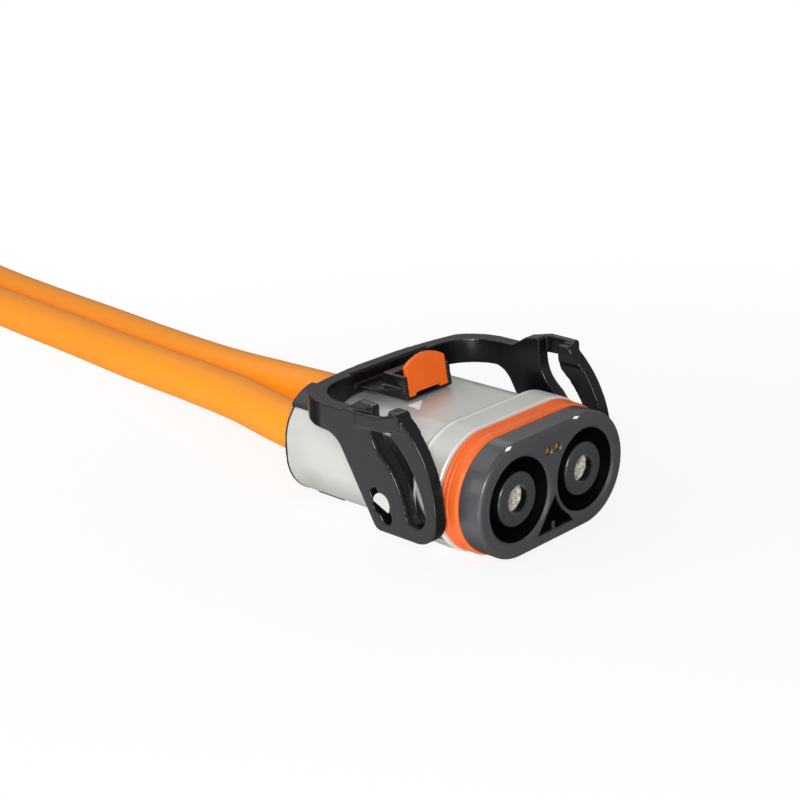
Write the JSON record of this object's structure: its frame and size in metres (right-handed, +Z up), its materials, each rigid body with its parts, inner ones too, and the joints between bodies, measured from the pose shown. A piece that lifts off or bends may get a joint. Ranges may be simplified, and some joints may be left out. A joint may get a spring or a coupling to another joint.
{
  "type": "high voltage connector",
  "caption": "High voltage plug with a die-cast shell, a cam lever with a sliding lock button, and shielded cables that end in crimped ring lugs.",
  "frame": {"origin": "middle of the mating face", "axes": "+X out of the mating face, +Y to the plug's left, +Z up through the lever's crossbar"},
  "size_m": [0.636, 0.13, 0.0599],
  "materials": {
    "die_cast_aluminium": "satin, cast",
    "grey_plastic": "satin moulded",
    "black_plastic": "matt moulded",
    "natural_plastic": "matt moulded",
    "orange_silicone": "satin",
    "gold_plated_brass": "bright plated",
    "silver_plated_copper": "bright plated",
    "plated_spring_bronze": "plated",
    "core_insulation": "matt",
    "tinned_brass": "tinned",
    "spring_steel": "satin",
    "black_lever_plastic": "satin moulded",
    "orange_plastic": "satin moulded",
    "orange_cable_jacket": "satin",
    "black_heat_shrink": "satin",
    "tinned_copper": "tinned"
  },
  "bodies": {
    "plug": {"housing": "die_cast_aluminium", "front_shroud": "grey_plastic", "terminal_housing": "black_plastic", "contact_retainer": "natural_plastic", "perimeter_seal": "orange_silicone", "hvil_carrier": "black_plastic", "hvil_shunt": "gold_plated_brass", "contact_left": "silver_plated_copper", "contact_right": "silver_plated_copper", "contact_spring_left": "plated_spring_bronze", "contact_spring_right": "plated_spring_bronze", "cable_core_left": "core_insulation", "cable_core_right": "core_insulation", "shield_ferrule_left": "tinned_brass", "shield_ferrule_right": "tinned_brass", "shield_spring_left": "spring_steel", "shield_spring_right": "spring_steel", "cable_seal_left": "orange_silicone", "cable_seal_right": "orange_silicone", "rear_cap": "black_plastic", "cable_left": "orange_cable_jacket", "cable_right": "orange_cable_jacket", "boot_left": "black_heat_shrink", "boot_right": "black_heat_shrink", "lug_left": "tinned_copper", "lug_right": "tinned_copper"},
    "lever": {"lever": "black_lever_plastic"},
    "lock": {"lock_button": "orange_plastic"}
  },
  "joints": [
    {"name": "lever_pivot", "type": "hinge", "parent": "plug", "child": "lever", "pos_m": [-0.038, 0, -0.0016], "axis": [0, 1, 0], "range_deg": [0, 76]},
    {"name": "lock_slide", "type": "slide", "parent": "lever", "child": "lock", "axis": [-1, 0, 0], "range_m": [0, 0.0045]}
  ]
}
